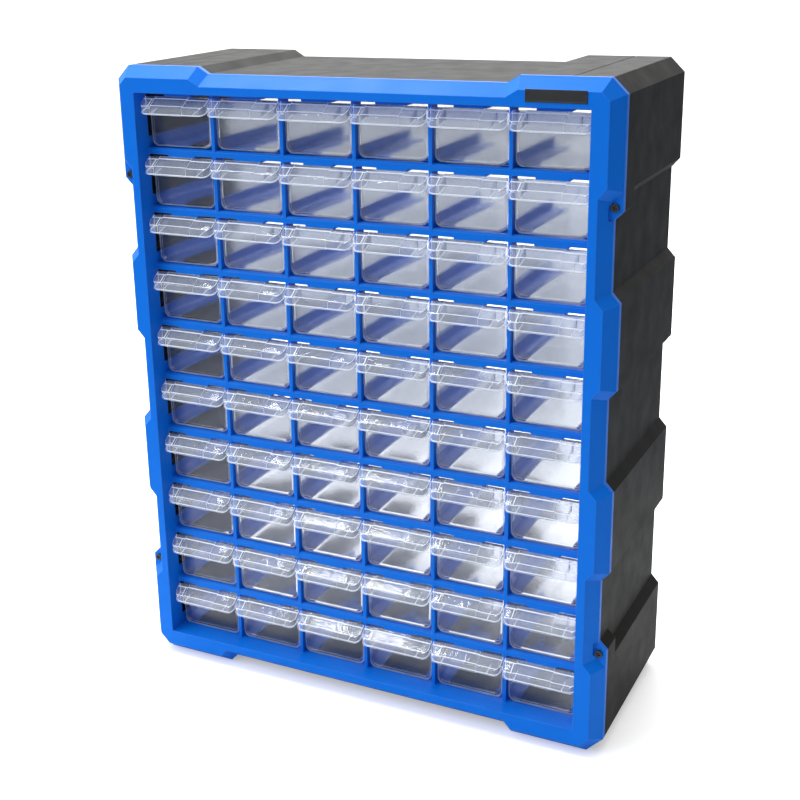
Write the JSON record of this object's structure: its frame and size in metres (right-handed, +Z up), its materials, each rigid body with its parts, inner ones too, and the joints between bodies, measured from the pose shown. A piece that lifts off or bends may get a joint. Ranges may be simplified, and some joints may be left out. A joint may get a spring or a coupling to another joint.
{
  "type": "parts bin cabinet",
  "caption": "Blue and black plastic parts cabinet with rows of small clear drawers that have hooded pulls",
  "frame": {"origin": "Middle of the footprint, on the surface that the cabinet stands on", "axes": "+Z up along the cabinet's height, -Y toward the front where the drawers pull out, +X to the right seen from the front"},
  "size_m": [0.38, 0.152, 0.474],
  "materials": {
    "blue_frame": "smooth satin polypropylene",
    "black_casing": "fine matt moulded plastic",
    "clear_drawer": "translucent frosted polypropylene",
    "black_screw": "black oxide"
  },
  "bodies": {
    "cabinet": {"front_frame": "blue_frame", "rear_casing": "black_casing", "frame_screws": "black_screw"},
    "drawer_r1_c1": {"drawer_r1_c1": "clear_drawer"},
    "drawer_r1_c2": {"drawer_r1_c2": "clear_drawer"},
    "drawer_r1_c3": {"drawer_r1_c3": "clear_drawer"},
    "drawer_r1_c4": {"drawer_r1_c4": "clear_drawer"},
    "drawer_r1_c5": {"drawer_r1_c5": "clear_drawer"},
    "drawer_r1_c6": {"drawer_r1_c6": "clear_drawer"},
    "drawer_r2_c1": {"drawer_r2_c1": "clear_drawer"},
    "drawer_r2_c2": {"drawer_r2_c2": "clear_drawer"},
    "drawer_r2_c3": {"drawer_r2_c3": "clear_drawer"},
    "drawer_r2_c4": {"drawer_r2_c4": "clear_drawer"},
    "drawer_r2_c5": {"drawer_r2_c5": "clear_drawer"},
    "drawer_r2_c6": {"drawer_r2_c6": "clear_drawer"},
    "drawer_r3_c1": {"drawer_r3_c1": "clear_drawer"},
    "drawer_r3_c2": {"drawer_r3_c2": "clear_drawer"},
    "drawer_r3_c3": {"drawer_r3_c3": "clear_drawer"},
    "drawer_r3_c4": {"drawer_r3_c4": "clear_drawer"},
    "drawer_r3_c5": {"drawer_r3_c5": "clear_drawer"},
    "drawer_r3_c6": {"drawer_r3_c6": "clear_drawer"},
    "drawer_r4_c1": {"drawer_r4_c1": "clear_drawer"},
    "drawer_r4_c2": {"drawer_r4_c2": "clear_drawer"},
    "drawer_r4_c3": {"drawer_r4_c3": "clear_drawer"},
    "drawer_r4_c4": {"drawer_r4_c4": "clear_drawer"},
    "drawer_r4_c5": {"drawer_r4_c5": "clear_drawer"},
    "drawer_r4_c6": {"drawer_r4_c6": "clear_drawer"},
    "drawer_r5_c1": {"drawer_r5_c1": "clear_drawer"},
    "drawer_r5_c2": {"drawer_r5_c2": "clear_drawer"},
    "drawer_r5_c3": {"drawer_r5_c3": "clear_drawer"},
    "drawer_r5_c4": {"drawer_r5_c4": "clear_drawer"},
    "drawer_r5_c5": {"drawer_r5_c5": "clear_drawer"},
    "drawer_r5_c6": {"drawer_r5_c6": "clear_drawer"},
    "drawer_r6_c1": {"drawer_r6_c1": "clear_drawer"},
    "drawer_r6_c2": {"drawer_r6_c2": "clear_drawer"},
    "drawer_r6_c3": {"drawer_r6_c3": "clear_drawer"},
    "drawer_r6_c4": {"drawer_r6_c4": "clear_drawer"},
    "drawer_r6_c5": {"drawer_r6_c5": "clear_drawer"},
    "drawer_r6_c6": {"drawer_r6_c6": "clear_drawer"},
    "drawer_r7_c1": {"drawer_r7_c1": "clear_drawer"},
    "drawer_r7_c2": {"drawer_r7_c2": "clear_drawer"},
    "drawer_r7_c3": {"drawer_r7_c3": "clear_drawer"},
    "drawer_r7_c4": {"drawer_r7_c4": "clear_drawer"},
    "drawer_r7_c5": {"drawer_r7_c5": "clear_drawer"},
    "drawer_r7_c6": {"drawer_r7_c6": "clear_drawer"},
    "drawer_r8_c1": {"drawer_r8_c1": "clear_drawer"},
    "drawer_r8_c2": {"drawer_r8_c2": "clear_drawer"},
    "drawer_r8_c3": {"drawer_r8_c3": "clear_drawer"},
    "drawer_r8_c4": {"drawer_r8_c4": "clear_drawer"},
    "drawer_r8_c5": {"drawer_r8_c5": "clear_drawer"},
    "drawer_r8_c6": {"drawer_r8_c6": "clear_drawer"},
    "drawer_r9_c1": {"drawer_r9_c1": "clear_drawer"},
    "drawer_r9_c2": {"drawer_r9_c2": "clear_drawer"},
    "drawer_r9_c3": {"drawer_r9_c3": "clear_drawer"},
    "drawer_r9_c4": {"drawer_r9_c4": "clear_drawer"},
    "drawer_r9_c5": {"drawer_r9_c5": "clear_drawer"},
    "drawer_r9_c6": {"drawer_r9_c6": "clear_drawer"},
    "drawers_r10_c1_c2": {"drawers_r10_c1_c2": "clear_drawer"},
    "drawers_r10_c3_c4": {"drawers_r10_c3_c4": "clear_drawer"},
    "drawers_r10_c5_c6": {"drawers_r10_c5_c6": "clear_drawer"}
  },
  "joints": [
    {"name": "slide_r1_c1", "type": "slide", "parent": "cabinet", "child": "drawer_r1_c1", "axis": [0, -1, 0], "range_m": [0, 0.118]},
    {"name": "slide_r1_c2", "type": "slide", "parent": "cabinet", "child": "drawer_r1_c2", "axis": [0, -1, 0], "range_m": [0, 0.118]},
    {"name": "slide_r1_c3", "type": "slide", "parent": "cabinet", "child": "drawer_r1_c3", "axis": [0, -1, 0], "range_m": [0, 0.118]},
    {"name": "slide_r1_c4", "type": "slide", "parent": "cabinet", "child": "drawer_r1_c4", "axis": [0, -1, 0], "range_m": [0, 0.118]},
    {"name": "slide_r1_c5", "type": "slide", "parent": "cabinet", "child": "drawer_r1_c5", "axis": [0, -1, 0], "range_m": [0, 0.118]},
    {"name": "slide_r1_c6", "type": "slide", "parent": "cabinet", "child": "drawer_r1_c6", "axis": [0, -1, 0], "range_m": [0, 0.118]},
    {"name": "slide_r2_c1", "type": "slide", "parent": "cabinet", "child": "drawer_r2_c1", "axis": [0, -1, 0], "range_m": [0, 0.118]},
    {"name": "slide_r2_c2", "type": "slide", "parent": "cabinet", "child": "drawer_r2_c2", "axis": [0, -1, 0], "range_m": [0, 0.118]},
    {"name": "slide_r2_c3", "type": "slide", "parent": "cabinet", "child": "drawer_r2_c3", "axis": [0, -1, 0], "range_m": [0, 0.118]},
    {"name": "slide_r2_c4", "type": "slide", "parent": "cabinet", "child": "drawer_r2_c4", "axis": [0, -1, 0], "range_m": [0, 0.118]},
    {"name": "slide_r2_c5", "type": "slide", "parent": "cabinet", "child": "drawer_r2_c5", "axis": [0, -1, 0], "range_m": [0, 0.118]},
    {"name": "slide_r2_c6", "type": "slide", "parent": "cabinet", "child": "drawer_r2_c6", "axis": [0, -1, 0], "range_m": [0, 0.118]},
    {"name": "slide_r3_c1", "type": "slide", "parent": "cabinet", "child": "drawer_r3_c1", "axis": [0, -1, 0], "range_m": [0, 0.118]},
    {"name": "slide_r3_c2", "type": "slide", "parent": "cabinet", "child": "drawer_r3_c2", "axis": [0, -1, 0], "range_m": [0, 0.118]},
    {"name": "slide_r3_c3", "type": "slide", "parent": "cabinet", "child": "drawer_r3_c3", "axis": [0, -1, 0], "range_m": [0, 0.118]},
    {"name": "slide_r3_c4", "type": "slide", "parent": "cabinet", "child": "drawer_r3_c4", "axis": [0, -1, 0], "range_m": [0, 0.118]},
    {"name": "slide_r3_c5", "type": "slide", "parent": "cabinet", "child": "drawer_r3_c5", "axis": [0, -1, 0], "range_m": [0, 0.118]},
    {"name": "slide_r3_c6", "type": "slide", "parent": "cabinet", "child": "drawer_r3_c6", "axis": [0, -1, 0], "range_m": [0, 0.118]},
    {"name": "slide_r4_c1", "type": "slide", "parent": "cabinet", "child": "drawer_r4_c1", "axis": [0, -1, 0], "range_m": [0, 0.118]},
    {"name": "slide_r4_c2", "type": "slide", "parent": "cabinet", "child": "drawer_r4_c2", "axis": [0, -1, 0], "range_m": [0, 0.118]},
    {"name": "slide_r4_c3", "type": "slide", "parent": "cabinet", "child": "drawer_r4_c3", "axis": [0, -1, 0], "range_m": [0, 0.118]},
    {"name": "slide_r4_c4", "type": "slide", "parent": "cabinet", "child": "drawer_r4_c4", "axis": [0, -1, 0], "range_m": [0, 0.118]},
    {"name": "slide_r4_c5", "type": "slide", "parent": "cabinet", "child": "drawer_r4_c5", "axis": [0, -1, 0], "range_m": [0, 0.118]},
    {"name": "slide_r4_c6", "type": "slide", "parent": "cabinet", "child": "drawer_r4_c6", "axis": [0, -1, 0], "range_m": [0, 0.118]},
    {"name": "slide_r5_c1", "type": "slide", "parent": "cabinet", "child": "drawer_r5_c1", "axis": [0, -1, 0], "range_m": [0, 0.118]},
    {"name": "slide_r5_c2", "type": "slide", "parent": "cabinet", "child": "drawer_r5_c2", "axis": [0, -1, 0], "range_m": [0, 0.118]},
    {"name": "slide_r5_c3", "type": "slide", "parent": "cabinet", "child": "drawer_r5_c3", "axis": [0, -1, 0], "range_m": [0, 0.118]},
    {"name": "slide_r5_c4", "type": "slide", "parent": "cabinet", "child": "drawer_r5_c4", "axis": [0, -1, 0], "range_m": [0, 0.118]},
    {"name": "slide_r5_c5", "type": "slide", "parent": "cabinet", "child": "drawer_r5_c5", "axis": [0, -1, 0], "range_m": [0, 0.118]},
    {"name": "slide_r5_c6", "type": "slide", "parent": "cabinet", "child": "drawer_r5_c6", "axis": [0, -1, 0], "range_m": [0, 0.118]},
    {"name": "slide_r6_c1", "type": "slide", "parent": "cabinet", "child": "drawer_r6_c1", "axis": [0, -1, 0], "range_m": [0, 0.118]},
    {"name": "slide_r6_c2", "type": "slide", "parent": "cabinet", "child": "drawer_r6_c2", "axis": [0, -1, 0], "range_m": [0, 0.118]},
    {"name": "slide_r6_c3", "type": "slide", "parent": "cabinet", "child": "drawer_r6_c3", "axis": [0, -1, 0], "range_m": [0, 0.118]},
    {"name": "slide_r6_c4", "type": "slide", "parent": "cabinet", "child": "drawer_r6_c4", "axis": [0, -1, 0], "range_m": [0, 0.118]},
    {"name": "slide_r6_c5", "type": "slide", "parent": "cabinet", "child": "drawer_r6_c5", "axis": [0, -1, 0], "range_m": [0, 0.118]},
    {"name": "slide_r6_c6", "type": "slide", "parent": "cabinet", "child": "drawer_r6_c6", "axis": [0, -1, 0], "range_m": [0, 0.118]},
    {"name": "slide_r7_c1", "type": "slide", "parent": "cabinet", "child": "drawer_r7_c1", "axis": [0, -1, 0], "range_m": [0, 0.118]},
    {"name": "slide_r7_c2", "type": "slide", "parent": "cabinet", "child": "drawer_r7_c2", "axis": [0, -1, 0], "range_m": [0, 0.118]},
    {"name": "slide_r7_c3", "type": "slide", "parent": "cabinet", "child": "drawer_r7_c3", "axis": [0, -1, 0], "range_m": [0, 0.118]},
    {"name": "slide_r7_c4", "type": "slide", "parent": "cabinet", "child": "drawer_r7_c4", "axis": [0, -1, 0], "range_m": [0, 0.118]},
    {"name": "slide_r7_c5", "type": "slide", "parent": "cabinet", "child": "drawer_r7_c5", "axis": [0, -1, 0], "range_m": [0, 0.118]},
    {"name": "slide_r7_c6", "type": "slide", "parent": "cabinet", "child": "drawer_r7_c6", "axis": [0, -1, 0], "range_m": [0, 0.118]},
    {"name": "slide_r8_c1", "type": "slide", "parent": "cabinet", "child": "drawer_r8_c1", "axis": [0, -1, 0], "range_m": [0, 0.118]},
    {"name": "slide_r8_c2", "type": "slide", "parent": "cabinet", "child": "drawer_r8_c2", "axis": [0, -1, 0], "range_m": [0, 0.118]},
    {"name": "slide_r8_c3", "type": "slide", "parent": "cabinet", "child": "drawer_r8_c3", "axis": [0, -1, 0], "range_m": [0, 0.118]},
    {"name": "slide_r8_c4", "type": "slide", "parent": "cabinet", "child": "drawer_r8_c4", "axis": [0, -1, 0], "range_m": [0, 0.118]},
    {"name": "slide_r8_c5", "type": "slide", "parent": "cabinet", "child": "drawer_r8_c5", "axis": [0, -1, 0], "range_m": [0, 0.118]},
    {"name": "slide_r8_c6", "type": "slide", "parent": "cabinet", "child": "drawer_r8_c6", "axis": [0, -1, 0], "range_m": [0, 0.118]},
    {"name": "slide_r9_c1", "type": "slide", "parent": "cabinet", "child": "drawer_r9_c1", "axis": [0, -1, 0], "range_m": [0, 0.118]},
    {"name": "slide_r9_c2", "type": "slide", "parent": "cabinet", "child": "drawer_r9_c2", "axis": [0, -1, 0], "range_m": [0, 0.118]},
    {"name": "slide_r9_c3", "type": "slide", "parent": "cabinet", "child": "drawer_r9_c3", "axis": [0, -1, 0], "range_m": [0, 0.118]},
    {"name": "slide_r9_c4", "type": "slide", "parent": "cabinet", "child": "drawer_r9_c4", "axis": [0, -1, 0], "range_m": [0, 0.118]},
    {"name": "slide_r9_c5", "type": "slide", "parent": "cabinet", "child": "drawer_r9_c5", "axis": [0, -1, 0], "range_m": [0, 0.118]},
    {"name": "slide_r9_c6", "type": "slide", "parent": "cabinet", "child": "drawer_r9_c6", "axis": [0, -1, 0], "range_m": [0, 0.118]},
    {"name": "slide_r10_c1_c2", "type": "slide", "parent": "cabinet", "child": "drawers_r10_c1_c2", "axis": [0, -1, 0], "range_m": [0, 0.118]},
    {"name": "slide_r10_c3_c4", "type": "slide", "parent": "cabinet", "child": "drawers_r10_c3_c4", "axis": [0, -1, 0], "range_m": [0, 0.118]},
    {"name": "slide_r10_c5_c6", "type": "slide", "parent": "cabinet", "child": "drawers_r10_c5_c6", "axis": [0, -1, 0], "range_m": [0, 0.118]}
  ]
}
